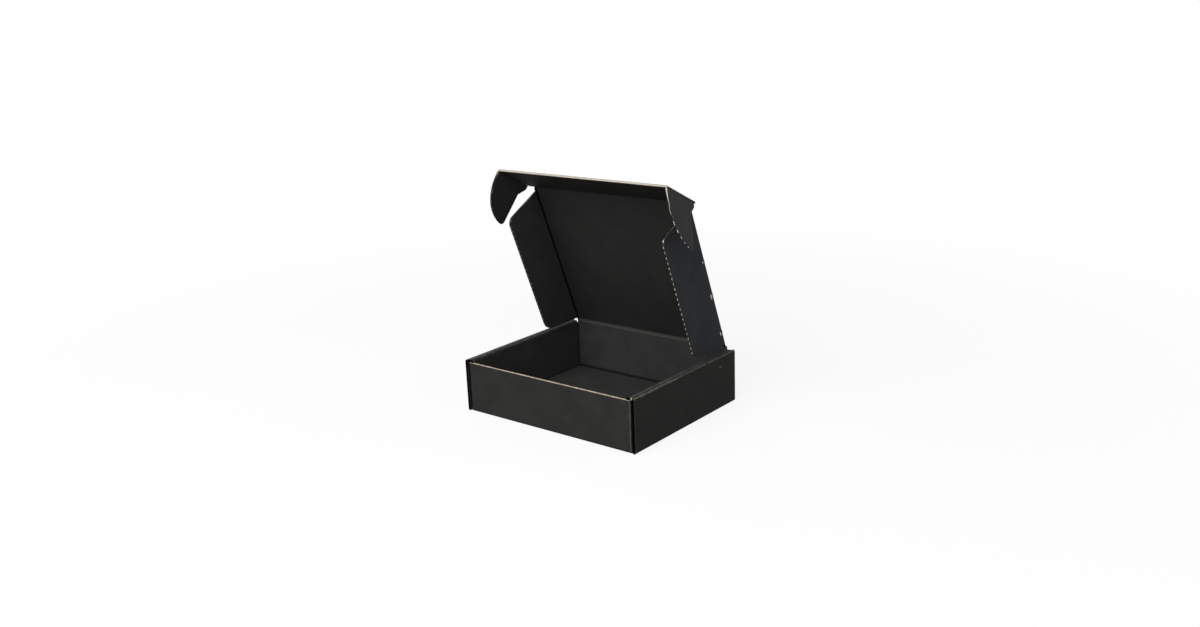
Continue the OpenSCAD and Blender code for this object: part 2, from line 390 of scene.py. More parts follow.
# painted shade: a darker copy of the cut edge for the left side
shaded_edge = kraft("kraft_shaded_edge", (0.17, 0.165, 0.12), with_liners=True)
# painted shade: the inside of a flute is painted deep brown
hollow = kraft("flute_hollow", (0.040, 0.028, 0.017))
print("kraft:", ", ".join(m.name for m in (torn_edge, cut_edge, pale_edge, shaded_edge, hollow)))

# %% [markdown]
# ## Cutting a panel into cells
#
# A packed panel is a handful of very large triangles. A number such as rub, which changes
# within a few millimetres of a crease, needs vertices to live on. Subdividing would double
# everything evenly; slicing a copy with planes puts the vertices where the creases are and
# leaves the shape exactly as it is.


# %% Helpers for the panels
BESIDE_CREASE = (0.5, 1.0, 1.8, 3.0, 4.8)  # cuts on both sides of a crease, in millimetres
SMOOTH_TO = math.radians(30)


def grid(low, high, cell, creases=()):
    """Places of the cuts from low to high: a cell apart, and closer beside each crease."""
    places = set(np.round(np.arange(low + cell, high, cell), 5))
    for crease in creases:
        places |= {round(crease + s * d * MM, 5) for d in BESIDE_CREASE for s in (-1, 1)}
    return sorted(p for p in places if low < p < high)


def sliced_copy(node, cuts):
    """A merged copy of a node's mesh, cut by planes. cuts is (direction, places) pairs."""
    bm = bmesh.new()
    bm.from_mesh(frame["nodes"][node].data)
    bmesh.ops.remove_doubles(bm, verts=bm.verts, dist=0.002 * MM)
    for direction, places in cuts:
        for place in places:
            everything = bm.verts[:] + bm.edges[:] + bm.faces[:]
            bmesh.ops.bisect_plane(bm, geom=everything, dist=0.0005 * MM,
                                   plane_co=direction * place, plane_no=direction)
    smooth(bm, SMOOTH_TO)
    return bm


def smooth(bm, angle):
    """Shades a mesh smooth, apart from edges sharper than angle and open ones."""
    for edge in bm.edges:
        edge.smooth = len(edge.link_faces) == 2 and edge.calc_face_angle(3) < angle
    for face in bm.faces:
        face.smooth = True


def nearness(points, creases):
    """How close each point is to a crease, from 0 to the crease's own amount. A crease is
    (start, end, width, amount)."""
    total = np.zeros(len(points))
    for start, end, width, amount in creases:
        a, d = np.array(start), np.array(end) - np.array(start)
        t = np.clip((points - a) @ d / (d @ d), 0, 1)
        away = np.linalg.norm(points - a - t[:, None] * d, axis=1)
        total = np.maximum(total, amount * np.clip(1 - away / width, 0, 1))
    return total


def mark(mesh, name, values):
    """Stores one number for each vertex under a name that the papers read."""
    mesh.attributes.new(name, "FLOAT", "POINT").data.foreach_set("value", values)


def finished_mesh(bm, name):
    mesh = bpy.data.meshes.new(name)
    bm.to_mesh(mesh)
    bm.free()
    return mesh


def dress(name, node, cuts, read_face, creases, papers, torn=(), painted_shade=()):
    """Makes the shown piece of a node. read_face says for a face's middle and normal which
    of the papers it shows, and the two directions and the origin of its place on the flat
    sheet. creases are rubbed pale, and a few of them are painted highlights; torn edges show
    kraft, and along the lines of painted shade the paper is darkened."""
    bm = sliced_copy(node, cuts)
    sheet = bm.loops.layers.uv.new("sheet")
    for face in bm.faces:
        paper, along, across, origin = read_face(face.calc_center_median(), face.normal)
        face.material_index = papers.index(paper)
        for corner in face.loops:
            from_origin = corner.vert.co - origin
            corner[sheet].uv = (from_origin.dot(along), from_origin.dot(across))
    mesh = finished_mesh(bm, name)
    points = np.array([v.co for v in mesh.vertices])
    for word, places in (("rub_and_highlight", creases), ("chip", torn), ("painted_shade", painted_shade)):
        mark(mesh, word, nearness(points, places))
    for paper in papers:
        mesh.materials.append(paper)
    piece = new_object(name, mesh)
    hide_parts(node)
    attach(piece, body_of_node[node])
    others = sum(p.material_index > 0 for p in mesh.polygons)
    print(f"{name}: {len(mesh.polygons)} faces, {others} of them not in {papers[0].name}")


# %% [markdown]
# ## The tray
#
# The tray is one folded sheet: floor, front and back wall, and on each side an outer wall
# that rolls over the rim and comes down inside. Its flutes run from side to side on the
# flat sheet, so they lie along X in the floor and the front and back walls, and stand
# upright in the side walls. Raw edges show on top of the front wall and on the front and
# back ends of the side walls. Those ends, part of the front ends of the rims and the floor's
# edges in the corner slots are painted near black, which is painted shade. The inner faces
# of the walls and the floor get a lighter paper, which is painted light, and the outer side
# walls a darker one, which is painted shade. The function below tells the faces of the
# solid apart by where they lie and which way they face.

# %% Tell the tray's faces apart
Y, Z = Vector((0, 1, 0)), Vector((0, 0, 1))
FACING = 0.9  # a face looks a way when its normal's share of that way is above this
tray_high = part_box("tray")[1]
wall_x = tray_high.x
depth = tray_high.y
rim = 61 * MM
front_face = -depth + 0.4 * MM
front_top = rim - 3.2 * MM
slot_out = wall_x - BOARD
slot_in = slot_out - 3.0 * MM
cavity = slot_in - 2 * BOARD
TAB_Y, TAB_HALF = 42 * MM, 13.2 * MM  # middle of a lock tab, and half of its slot's length


def near(value, target):
    """Whether two places are the same, to 0.05 mm."""
    return abs(value - target) < 0.05 * MM


def read_tray(middle, normal):
    x, y, z = abs(middle.x), middle.y, middle.z
    side = math.copysign(1, middle.x)
    up, forward, outward = normal.z, -normal.y, normal.x * side
    if up > FACING and near(z, front_top):
        if x > slot_in - BOARD:
            return torn_edge, Y, X, Vector((side * (slot_in - HALF), 0, 0))
        return torn_edge, X, Y, Vector((0, front_face + HALF, 0))
    # painted shade: the front and back ends of the outer side walls are near black
    if abs(forward) > FACING and near(abs(y), depth) and x > slot_out:
        return painted_shade_black, Z, X, Vector((side * (slot_out + HALF), 0, 0))
    # painted shade: the front ends of the rims are near black, apart from a torn kraft spot
    if forward > FACING and cavity < x < slot_out and near(y, -depth + 0.3 * MM + HALF):
        torn_spot_here = middle.x > slot_in + 0.5 * MM
        return (torn_edge if torn_spot_here else painted_shade_black), X, Z, Vector((0, 0, rim - HALF))
    # painted light: the inner back wall, the inner side walls and the floor get a lighter paper
    if forward > FACING and x < cavity and near(y, depth - BOARD):
        return painted_light_liner, X, Z, Vector()
    if outward < -FACING and near(x, cavity):
        return painted_light_liner, Z, Y, Vector()
    if up > FACING and near(z, BOARD):
        return painted_light_liner, X, Y, Vector()
    # painted shade: the outer side walls get a darker paper
    if outward > FACING and near(x, wall_x):
        return side_wall_shaded_liner, Z, Y, Vector()
    # painted shade: the floor's edges in the corner slots are near black
    in_floor_edge = abs(up) < 0.1 and 0.02 * MM < z < BOARD - 0.02 * MM
    if in_floor_edge and cavity - BOARD < x < slot_out and abs(y) < depth - 8 * MM:
        return painted_shade_black, Y, Z, Vector((0, 0, HALF))
    in_tab = (cavity - 0.1 * MM < x < slot_in - BOARD + 0.1 * MM
              and abs(abs(y) - TAB_Y) < TAB_HALF)
    if up < -FACING and near(z, 0) and in_tab:
        return torn_edge, Y, X, Vector((side * (cavity + HALF), 0, 0))
    if abs(up) > 0.7:
        return liner, X, Y, Vector()
    if abs(forward) > 0.7:
        return liner, X, Z, Vector()
    return liner, Z, Y, Vector()


print(f"tray {2 * wall_x / MM:.0f} mm wide and {2 * depth / MM:.0f} mm deep")

# %% [markdown]
# ## Wear on the tray
#
# The rims are rubbed most, and more towards the front, as in the picture. Along the foot
# of the walls, inside and outside, and in the corners of the tray the paper is darkened,
# which is painted shade. The wear and the shade could be painted on by hand, but here each
# is a list of lines, each with a width and an amount, because a line follows its fold
# exactly and is easy to change.

# %% Dress the tray
CELL, SMALL_CELL = 9 * MM, 8 * MM
SIDES = (("left", -1), ("right", 1))
ROUND = BOARD * (1 - math.sqrt(0.5))  # how far a fold's round lies in from its sharp corner
up, down = rim - ROUND, ROUND
worn_end = -0.2 * depth
tray_rub_and_highlight_lines = [
    ((-slot_in, front_face + ROUND, down), (slot_in, front_face + ROUND, down), 2.4 * MM, 0.3),
    ((-slot_out, depth - ROUND, down), (slot_out, depth - ROUND, down), 2.4 * MM, 0.62),
    ((wall_x, 61 * MM, 50 * MM), (wall_x, 68 * MM, 48.6 * MM), 1.4 * MM, 1.3),
]
# painted shade: dark lines along the foot of the walls, outside and inside, and in the tray's inner corners
tray_painted_shade = [
    ((-cavity, depth - BOARD, BOARD), (cavity, depth - BOARD, BOARD), 4.4 * MM, 0.95),
    ((-cavity, front_face + BOARD, BOARD), (cavity, front_face + BOARD, BOARD), 2.0 * MM, 0.9),
    ((-wall_x, front_face, 0), (wall_x, front_face, 0), 3.2 * MM, 1.25),
]
for _, s in SIDES:
    wall, inner, middle = s * wall_x, s * cavity, s * (wall_x + cavity) / 2
    outside, inside = s * (wall_x - ROUND), s * (cavity + ROUND)
    front_corner, back_corner = s * (slot_in - ROUND), s * (slot_out - ROUND)
    front_y, back_y = front_face + ROUND, depth - ROUND
    tray_rub_and_highlight_lines += [
        ((outside, -depth, up), (outside, worn_end, up), 4.6 * MM, 0.95),
        ((outside, worn_end, up), (outside, depth, up), 3.8 * MM, 0.82),
        ((inside, -depth, up), (inside, depth, up), 2.2 * MM, 0.8),
        ((middle, -depth, rim), (middle, depth, rim), 5.0 * MM, 0.7),
        ((outside, -depth, down), (outside, depth, down), 2.2 * MM, 0.3),
        # painted highlight: pale lines down the front and back ends of each outer wall, where the edge catches the
        # light
        ((wall, 1.6 * MM - depth, 0), (wall, 1.6 * MM - depth, rim), 1.6 * MM, 0.85),
        ((wall, depth, 0), (wall, depth, rim), 1.5 * MM, 0.7),
        ((front_corner, front_y, 0), (front_corner, front_y, front_top), 3.6 * MM, 0.9),
        ((back_corner, back_y, 0), (back_corner, back_y, front_top), 2.4 * MM, 0.7),
    ]
    for k in range(5):
        a, b = (Vector((middle, (0.4 * t - 1) * depth, rim)) for t in (k, k + 1))
        tray_rub_and_highlight_lines.append((a, b, 7.5 * MM, 0.86 - 0.04 * k))
    # painted shade along the foot of each side wall and in its inner corners
    tray_painted_shade += [
        ((wall, -depth, 0), (wall, depth, 0), 3.2 * MM, 1.25),
        ((inner, -depth, BOARD), (inner, depth, BOARD), 2.0 * MM, 0.9),
        ((inner, depth - BOARD, BOARD), (inner, depth - BOARD, rim), 2.2 * MM, 0.8),
    ]
tray_torn = [
    ((-slot_in, front_face, front_top), (slot_in - 2 * MM, front_face, front_top), 0.7 * MM, 0.8),
]
x_creases = (-wall_x, -slot_in, -cavity, cavity, slot_in, wall_x)
y_creases = (-depth, depth, BOARD - depth, depth - BOARD, 60 * MM, 70 * MM)
tray_cuts = [
    (X, grid(-wall_x, wall_x, CELL, x_creases) + [-slot_out, slot_out]),
    (Y, grid(-depth, depth, CELL, y_creases)),
    (Z, grid(0, rim, SMALL_CELL, (0, BOARD, rim, 50 * MM, front_top)) + [front_top]),
]
dress("tray_board", "tray", tray_cuts, read_tray, tray_rub_and_highlight_lines,
      (liner, torn_edge, painted_shade_black, painted_light_liner, side_wall_shaded_liner), tray_torn, tray_painted_shade)

# %% [markdown]
# ## The lid
#
# The lid is a flat panel that hangs on the top edge of the back wall. Three of its sides are
# folds, to the two side flaps and to the tuck, so it shows almost no raw edge of its own.

# %% Dress the lid
at_hinge, at_fold = hinge.dot(lid_way), lid_fold.dot(lid_way)
lid_outside = flap_pivot_x + BOARD


def read_lid(middle, normal):
    facing_in = -normal.x * math.copysign(1, middle.x)
    faces_fold = normal.dot(lid_in) > 0.25 or facing_in > FACING
    # painted shade: the faces in the groove at each side fold are near black
    if abs(middle.x) > flap_pivot_x - 0.02 * MM and faces_fold:
        return painted_shade_black, X, lid_way, hinge
    # painted shade: the lid's inner face gets a darker paper
    return (lid_shaded_liner if normal.dot(lid_in) > FACING else liner), X, lid_way, hinge


side_out, back_out = X * lid_outside, lid_in * HALF
lid_creases = [
    (lid_fold - side_out - back_out, lid_fold + side_out - back_out, 3.2 * MM, 0.8),
    (hinge - side_out - back_out, hinge + side_out - back_out, 3.2 * MM, 0.7),
]
for _, s in SIDES:
    outer = X * s * (lid_outside - ROUND) - lid_in * (HALF - ROUND)
    lid_creases.append((hinge + outer, lid_fold + outer, 3.0 * MM, 0.9))
lid_cuts = [
    (X, grid(-lid_outside, lid_outside, CELL, (-lid_outside, lid_outside))),
    (lid_way, grid(at_hinge, at_fold, CELL, (at_hinge, at_fold))),
]
dress("lid_board", "lid", lid_cuts, read_lid, lid_creases, (liner, painted_shade_black, lid_shaded_liner))

# %% [markdown]
# ## The side flaps
#
# Each side flap is folded square to the lid. Its long free edge is cut across the flutes, so
# it shows the brown wave of the medium between the liners, which is the most telling detail
# of corrugated board. Only the two flat faces and the strip beside the fold are black;
# everything else is kraft.

# %% Dress the side flaps
FLAP_HEIGHT = 56 * MM
for word, s in SIDES:
    # painted shade: the left flap's cut edge gets the darker kraft
    edge_paper = cut_edge if s > 0 else shaded_edge

    def read_flap(middle, normal, s=s, edge_paper=edge_paper):
        off, down = middle.x * s, (middle - hinge).dot(lid_in)
        # painted light: the flap's outer face gets a lighter, bluish paper and its inner face a lighter one
        if abs(normal.x) > 0.99 and (near(off, flap_pivot_x) or near(off, lid_outside)):
            face_paper = flap_lit_liner if near(off, lid_outside) else painted_light_liner
            return face_paper, X.cross(lid_way), lid_way, hinge
        if down < 4.2 * MM:
            return liner, X, lid_way, hinge
        in_flute = abs(normal.x) > 0.05 or (down < 20 * MM and normal.dot(lid_in) > FACING)
        middle_of_edge = hinge + X * s * (flap_pivot_x + HALF)
        return (hollow if in_flute else edge_paper), lid_way, X * s, middle_of_edge

    foot = hinge.dot(lid_in) + HALF
    flap_cuts = [
        (lid_way, grid(at_hinge, at_fold, SMALL_CELL)),
        (lid_in, grid(foot, foot + FLAP_HEIGHT + MM, SMALL_CELL, (foot, foot + FLAP_HEIGHT))),
    ]
    edge_from = hinge + X * s * lid_outside + lid_in * (HALF + FLAP_HEIGHT) + lid_way * 30 * MM
    flap_creases = [(edge_from, edge_from + lid_way * 140 * MM, 2.4 * MM, 0.6)]
    dress("side_flap_" + word, "lid_side_flap_" + word, flap_cuts, read_flap, flap_creases,
          (liner, edge_paper, hollow, flap_lit_liner, painted_light_liner))

# %% [markdown]
# ## The tuck
#
# The tuck closes the front of the box. Its free edge runs along the flutes, so the knife
# left one long brown line instead of a wave.

# %% Dress the tuck
TUCK_HEIGHT = 57 * MM
tuck_from = lid_fold.dot(tuck_way)
tuck_to = tuck_from + TUCK_HEIGHT
tuck_end = ear_pivot_x + HALF
tuck_top = lid_fold + tuck_way * TUCK_HEIGHT


def read_tuck(middle, normal):
    if abs(normal.dot(tuck_way)) > FACING:
        return pale_edge, X, tuck_in, lid_fold
    # painted shade: the tuck's inner face gets a darker paper
    return (tuck_shaded_liner if normal.dot(tuck_in) > FACING else liner), X, tuck_way, lid_fold


end_out, face_in = X * tuck_end, tuck_in * HALF
tuck_creases = [
    (tuck_top - end_out, tuck_top + end_out, 2.2 * MM, 0.55),
    (lid_fold - end_out - face_in, lid_fold + end_out - face_in, 3.0 * MM, 0.7),
]
for _, s in SIDES:
    outer = X * s * tuck_end - face_in
    tuck_creases.append((lid_fold + outer, lid_fold + outer + tuck_way * TUCK_HEIGHT,
                         2.8 * MM, 0.7))
tuck_torn = [(tuck_top - end_out + face_in, tuck_top + end_out + face_in, 0.7 * MM, 0.7)]
tuck_cuts = [
    (X, grid(-tuck_end, tuck_end, CELL, (-tuck_end, tuck_end))),
    (tuck_way, grid(tuck_from, tuck_to, CELL, (tuck_from, tuck_to))),
]
dress("tuck_board", "tuck_flap", tuck_cuts, read_tuck, tuck_creases,
      (liner, pale_edge, tuck_shaded_liner), tuck_torn)

# %% [markdown]
# ## The lock ears
#
# The ears are folded out of the ends of the tuck. They are cut from the same sheet, so their
# far edges cross the flutes too and show the wave, like the side flaps. Beside the tuck,
# where its free edge runs on over the right ear, the knife tore that edge pale.

# %% Dress the ears
EAR_LENGTH = 56 * MM
WAVE_START = 4.85 * MM  # puts the ear's crests where TOUCH expects them
for word, s in SIDES:
    root = lid_fold + X * s * ear_pivot_x
    way, outward = ear_way(s), ear_out(s)
    # painted shade: the left ear's cut edge gets the darker kraft
    edge_paper = cut_edge if s > 0 else shaded_edge

    def read_ear(middle, normal, s=s, root=root, way=way, outward=outward, edge_paper=edge_paper):
        off, along = (middle - root).dot(outward), (middle - root).dot(way)
        flat = abs(normal.dot(outward)) > 0.99 and near(abs(off), HALF)
        if flat or along < 1.5 * MM:
            # painted light: the ear's outer face gets a lighter paper
            return (ear_lit_liner if off > 0 else liner), way, tuck_way, root
        wave_from = root + tuck_way * WAVE_START
        if abs(normal.dot(outward)) > 0.05 or (along < 12 * MM and normal.dot(way) > FACING):
            return hollow, tuck_way, outward, wave_from
        torn = s > 0 and along < 27 * MM and (middle - root).dot(tuck_way) > 40 * MM
        return (pale_edge if torn else edge_paper), tuck_way, outward, wave_from

    at_root = root.dot(way)
    ear_cuts = [
        (way, grid(at_root, at_root + EAR_LENGTH, SMALL_CELL, (at_root,))),
        (tuck_way, grid(tuck_from, tuck_to, SMALL_CELL, (tuck_to,))),
    ]
    outer = outward * HALF
    ear_creases = [(root + outer, root + outer + tuck_way * TUCK_HEIGHT, 2.8 * MM, 0.7)]
    dress("lock_ear_" + word + "_board", "lock_ear_" + word, ear_cuts, read_ear, ear_creases,
          (liner, edge_paper, hollow, ear_lit_liner, pale_edge))

# %% [markdown]
# ## Paper skin over the folds
#
# On the real sheet the liner runs on over every fold: it stretches round the outside and
# rubs pale there first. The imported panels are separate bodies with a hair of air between
# them, so each fold that moves gets its own thin strip of paper. A strip is swept along the
# fold from a short profile, with its two ends just under the panels' faces.


# %% Helpers for a skin
SKIN_BELOW = 0.07 * MM  # how far the strip's lower face lies under its profile
SKIN_TUCKED = -0.02 * MM  # height of its two long edges, just under the panels' faces
ROW_LENGTH = 7 * MM


def fold_skin(name, line, profile, amount, paper):
    """A strip of paper over a fold. line is the two ends of the fold's axis, profile a list
    of (offset from the axis, outward direction), and amount how rubbed it is."""
    start, end = line
    run = (end - start).length
    rows = max(8, round(run / ROW_LENGTH))
    count = len(profile)
    bm = bmesh.new()
    rings = []
    for i in range(rows + 1):
        base = start.lerp(end, i / rows)
        lift = 0.045 * MM + 0.012 * MM * math.sin(i * 2.1) + 0.008 * MM * math.sin(i * 5.3)
        upper, lower = [], []
        for k, (off, out) in enumerate(profile):
            height = SKIN_TUCKED if k in (0, count - 1) else lift
            upper.append(bm.verts.new(base + off + out * height))
            lower.append(bm.verts.new(base + off - out * SKIN_BELOW))
        rings.append(upper + lower[::-1])
    for a, b in zip(rings, rings[1:]):
        for k in range(len(a)):
            j = (k + 1) % len(a)
            bm.faces.new((a[k], a[j], b[j], b[k]))
    bm.faces.new(rings[0][::-1])
    bm.faces.new(rings[-1])
    bmesh.ops.recalc_face_normals(bm, faces=bm.faces)
    smooth(bm, math.radians(50))
    lengths = [0.0]
    for (a, _), (b, _) in zip(profile, profile[1:]):
        lengths.append(lengths[-1] + (b - a).length)
    bm.verts.index_update()
    sheet = bm.loops.layers.uv.new("sheet")
    for face in bm.faces:
        for corner in face.loops:
            row, k = divmod(corner.vert.index, 2 * count)
            corner[sheet].uv = (row * run / rows, lengths[k // 2])
    mesh = finished_mesh(bm, name)
    peak = [1 - (2 * v / lengths[-1] - 1) ** 2 for v in lengths]
    rub_and_highlight = [amount * peak[(v % (2 * count)) // 2] for v in range(len(mesh.vertices))]
    mark(mesh, "rub_and_highlight", rub_and_highlight)
    for word in ("chip", "painted_shade"):
        mark(mesh, word, [0.0] * len(rub_and_highlight))
    mesh.materials.append(paper)
    skin = new_object(name, mesh)
    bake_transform(skin)
    print(f"{name}: {run / MM:.0f} mm long, {len(mesh.polygons)} faces")


def round_profile(radius, out_a, back, out_b, on, tab_a, tab_b, steps=8):
    """Profile round the outside of a fold, from the first panel's face to the second's.
    back and on lead away from the fold on the two panels, for the lengths tab_a and tab_b."""
    turn = out_a.angle(out_b)
    arc = []
    for i in range(steps + 1):
        t = i / steps
        out = (out_a * math.sin((1 - t) * turn) + out_b * math.sin(t * turn)) / math.sin(turn)
        arc.append((out * radius, out))
    return [(out_a * radius + back * tab_a, out_a)] + arc + [(out_b * radius + on * tab_b, out_b)]


def span(place, along, low, high):
    """Two points on a line through place, low and high millimetres along it."""
    return [place + along * u * MM for u in (low, high)]


# %% [markdown]
# ## Skins on the lid, the tuck and the ears
#
# Each skin takes its profile from the two panels that it joins. The lid's hinge has one on
# both sides, because the inside of that fold is in plain view when the box stands open.

# %% Cover the folds
FOLD = HALF + 0.12 * MM  # from a fold's axis to where its second panel starts
LONG_SKIN = 105.4  # half the length of the skins on the hinge and the tuck, in millimetres
SHORT_TAB, LONG_TAB = 2.4 * MM, FOLD + 2.2 * MM
lid_body, tuck_body = body_of_node["lid"], body_of_node["tuck_flap"]
tray_body = body_of_node["tray"]
hinge_line = span(hinge, X, -LONG_SKIN, LONG_SKIN)
fold_skin("hinge_skin_outside", hinge_line,
          round_profile(HALF, Y, -Z, -lid_in, lid_way, 2.6 * MM, LONG_TAB, 4), 0.7, liner)
lean_in = (-Y + lid_in).normalized()
on_wall = [-Y * HALF - Z * u * MM for u in (3.4, 1.6, 0.4)]
on_lid = [lid_in * HALF + lid_way * (FOLD + u * MM) for u in (0.1, 1.2, 2.6)]
inside_profile = [(off, -Y) for off in on_wall]
inside_profile.append(((on_wall[-1] + on_lid[0]) / 2, lean_in))
inside_profile += [(off, lid_in) for off in on_lid]
# painted light and wear: the inner hinge skin is lighter, and its pale line is partly painted highlight
fold_skin("hinge_skin_inside", hinge_line, inside_profile, 0.9,
          hinge_lit_worn_liner)
fold_skin("tuck_skin", span(lid_fold, X, -LONG_SKIN, LONG_SKIN),
          round_profile(HALF, -lid_in, -lid_way, -tuck_in, tuck_way, SHORT_TAB, LONG_TAB, 6),
          0.8, liner)
for word, s in SIDES:
    root = lid_fold + X * s * ear_pivot_x
    fold_skin("ear_skin_" + word,
              span(root, tuck_way, 13.6, 56.2),
              round_profile(HALF, -tuck_in, -X * s, ear_out(s), ear_way(s), SHORT_TAB, LONG_TAB),
              0.85, liner)
    pivot = hinge + X * s * flap_pivot_x + lid_in * HALF
    # painted light: the skin over each flap fold has the lighter, bluish paper of the flap
    fold_skin("flap_skin_" + word,
              span(pivot, lid_way, 6.5, 182),
              round_profile(BOARD, -lid_in, -X * s, X * s, lid_in, SHORT_TAB, 3.2 * MM),
              0.8, flap_lit_liner)

# %% [markdown]
# ## Torn spots on the lid fold
#
# Where the lid's right fold was knocked, the black liner is torn and small tongues of kraft
# stand up. Painting them would leave the outline straight, and they show on the outline.
# Each tongue is a thin closed wedge that curls away from the board, and a few of them with
# a ragged patch make one torn spot. The tears run over the fold, so one half rides on the
# lid and the other on the side flap.


# %% Raise the torn tongues
PATCH_POINTS = 14
TONGUE_STEPS = 4


def torn_spot(bm, centre, along, out, across, size, tongues, seed):
    """Adds one torn spot: a low ragged patch and tongues that curl up from it."""
    rng = np.random.default_rng(seed)
    outline = []
    for k in range(PATCH_POINTS):
        a = 2 * math.pi * k / PATCH_POINTS
        r = size * (0.72 + 0.5 * rng.random())
        outline.append((r * math.cos(a), 0.55 * r * math.sin(a)))
    spread = [centre + along * u + across * v for u, v in outline]
    top = [bm.verts.new(point + out * 0.10 * MM) for point in spread]
    low = [bm.verts.new(point - out * 0.15 * MM) for point in spread]
    bm.faces.new(top)
    bm.faces.new(low[::-1])
    for k in range(PATCH_POINTS):
        j = (k + 1) % PATCH_POINTS
        bm.faces.new((top[k], low[k], low[j], top[j]))
    for _ in range(tongues):
        foot = (centre + along * size * rng.uniform(-0.8, 0.8)
                + across * size * rng.uniform(-0.2, 0.2))
        way = (along * rng.uniform(-1, 1) + across * rng.uniform(-0.35, 0.35)).normalized()
        side = way.cross(out).normalized() * rng.uniform(0.25, 0.5) * MM
        length, curl = rng.uniform(0.8, 1.7) * MM, rng.uniform(0.5, 1.2)
        before = None
        for k in range(TONGUE_STEPS + 1):
            t = k / TONGUE_STEPS
            angle = curl * t
            spine = (foot + way * length * math.sin(angle) / curl
                     + out * length * (1 - math.cos(angle)) / curl)
            spine += out * 0.1 * MM
            width = side * (1 - 0.75 * t)
            thick = (out * math.cos(angle) - way * math.sin(angle)) * 0.05 * MM
            ring = [bm.verts.new(spine + w + h) for w, h in
                    ((width, thick), (-width, thick), (-width, -thick), (width, -thick))]
            if before:
                for a in range(4):
                    b = (a + 1) % 4
                    bm.faces.new((before[a], before[b], ring[b], ring[a]))
            else:
                bm.faces.new(ring[::-1])
            before = ring
        bm.faces.new(before)


def torn_piece(name, body, centres):
    """One plain mesh of torn spots. centres is (middle, outward direction, size in
    millimetres, tongues, seed)."""
    bm = bmesh.new()
    for centre, out, size, tongues, seed in centres:
        torn_spot(bm, centre, lid_way, out, lid_way.cross(out), size * MM, tongues, seed)
    bmesh.ops.recalc_face_normals(bm, faces=bm.faces)
    mesh = finished_mesh(bm, name)
    mesh.materials.append(fresh_tear)
    piece = new_object(name, mesh)
    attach(piece, body)
    print(f"{name}: {len(mesh.polygons)} faces")


fresh_tear = kraft("kraft_fresh_tear", (0.86, 0.84, 0.64))
pivot = hinge + X * flap_pivot_x + lid_in * HALF
out = (X * 0.8 - lid_in * 0.6).normalized()
fold_tears = ((117, 0.9, 2, 3), (73, 2.4, 5, 5), (69.5, 1.8, 4, 8), (22, 2.4, 5, 11))
on_fold = [(pivot + lid_way * u * MM + out * (BOARD + 0.05 * MM), out, size, tongues, seed)
           for u, size, tongues, seed in fold_tears]
flap_tears = ((72.5, 2.7, 2.5, 21), (70, 3.0, 1.6, 22), (21.5, 2.7, 2.4, 23), (117, 2.1, 1.3, 24))
on_flap = [(pivot + X * BOARD + lid_way * u * MM + lid_in * w * MM, X, size, 0, seed)
           for u, w, size, seed in flap_tears]
torn_piece("torn_fold_spots", lid_body, on_fold)
torn_piece("torn_flap_spots", body_of_node["lid_side_flap_right"], on_flap)

# %% [markdown]
# ## Paper crumbs along the cut edges
#
# A worn knife leaves short crumbs of kraft standing along a cut that runs with the flutes,
# on top of the front wall and along the free edge of the tuck. There are hundreds and they
# follow a line, so Geometry Nodes places them: it spreads points along the edge, nudges them
# off the line, stands a small wedge on each and makes them real before they are kept.

# %% Build the crumbs tree
tree, given, result = group("edge_crumbs", "GeometryNodeTree", {
    "Edge": ("Geometry", None), "Crumbs": ("Int", 300), "Length": ("Float", 0.7 * MM),
    "Width": ("Float", 0.16 * MM), "Spread": ("Float", 0.5 * MM), "Out": ("Vector", (0, 0, 1)),
    "Seed": ("Int", 1), "Paper": ("Material", None),
}, {"Crumbs": "Geometry"})


def scatter(low, high, offset):
    """A random vector for each point, with a seed of its own."""
    seed = calc(tree, "ADD", given["Seed"], offset)
    values = {0: low, 1: high, "Seed": seed}
    return add(tree, "FunctionNodeRandomValue", values, data_type="FLOAT_VECTOR").outputs[0]


line = add(tree, "GeometryNodeMeshToCurve", {0: given["Edge"]}).outputs[0]
dots = add(tree, "GeometryNodeCurveToPoints", {"Curve": line, "Count": given["Crumbs"]},
           mode="COUNT").outputs[0]
nudge = scaled(tree, scatter((-1, -1, -1), (1, 1, 1), 7), given["Spread"])
dots = add(tree, "GeometryNodeSetPosition", {"Geometry": dots, "Offset": nudge}).outputs[0]
tilt = scatter((-0.9, -0.9, -0.9), (0.9, 0.9, 0.9), 13)
lean = add(tree, "ShaderNodeVectorMath", {0: given["Out"], 1: tilt}, operation="ADD").outputs[0]
turn = add(tree, "FunctionNodeAlignRotationToVector", {"Vector": lean}, axis="Z").outputs[0]
wedge = add(tree, "GeometryNodeMeshCone", {
    "Vertices": 4, "Radius Top": 0.0, "Radius Bottom": given["Width"], "Depth": given["Length"],
}).outputs["Mesh"]
stand = add(tree, "GeometryNodeInstanceOnPoints", {
    "Points": dots, "Instance": wedge, "Rotation": turn,
    "Scale": scatter((0.4, 0.4, 0.3), (1.3, 1.0, 1.2), 21),
}).outputs[0]
real = add(tree, "GeometryNodeRealizeInstances", {0: stand}).outputs[0]
kept = add(tree, "GeometryNodeSetMaterial", {"Geometry": real, "Material": given["Paper"]})
plug(tree, kept.outputs[0], result.inputs["Crumbs"])
print("tree:", tree.name, "with", len(tree.nodes), "nodes")

# %% [markdown]
# ## Crumbs on two edges
#
# The tree runs on a line of two points. Its result is kept as a plain mesh, so the crumbs
# ride on the tray and the tuck like any other piece. On the front wall they stay just inside
# its outer face, because the looks must not make the box deeper.


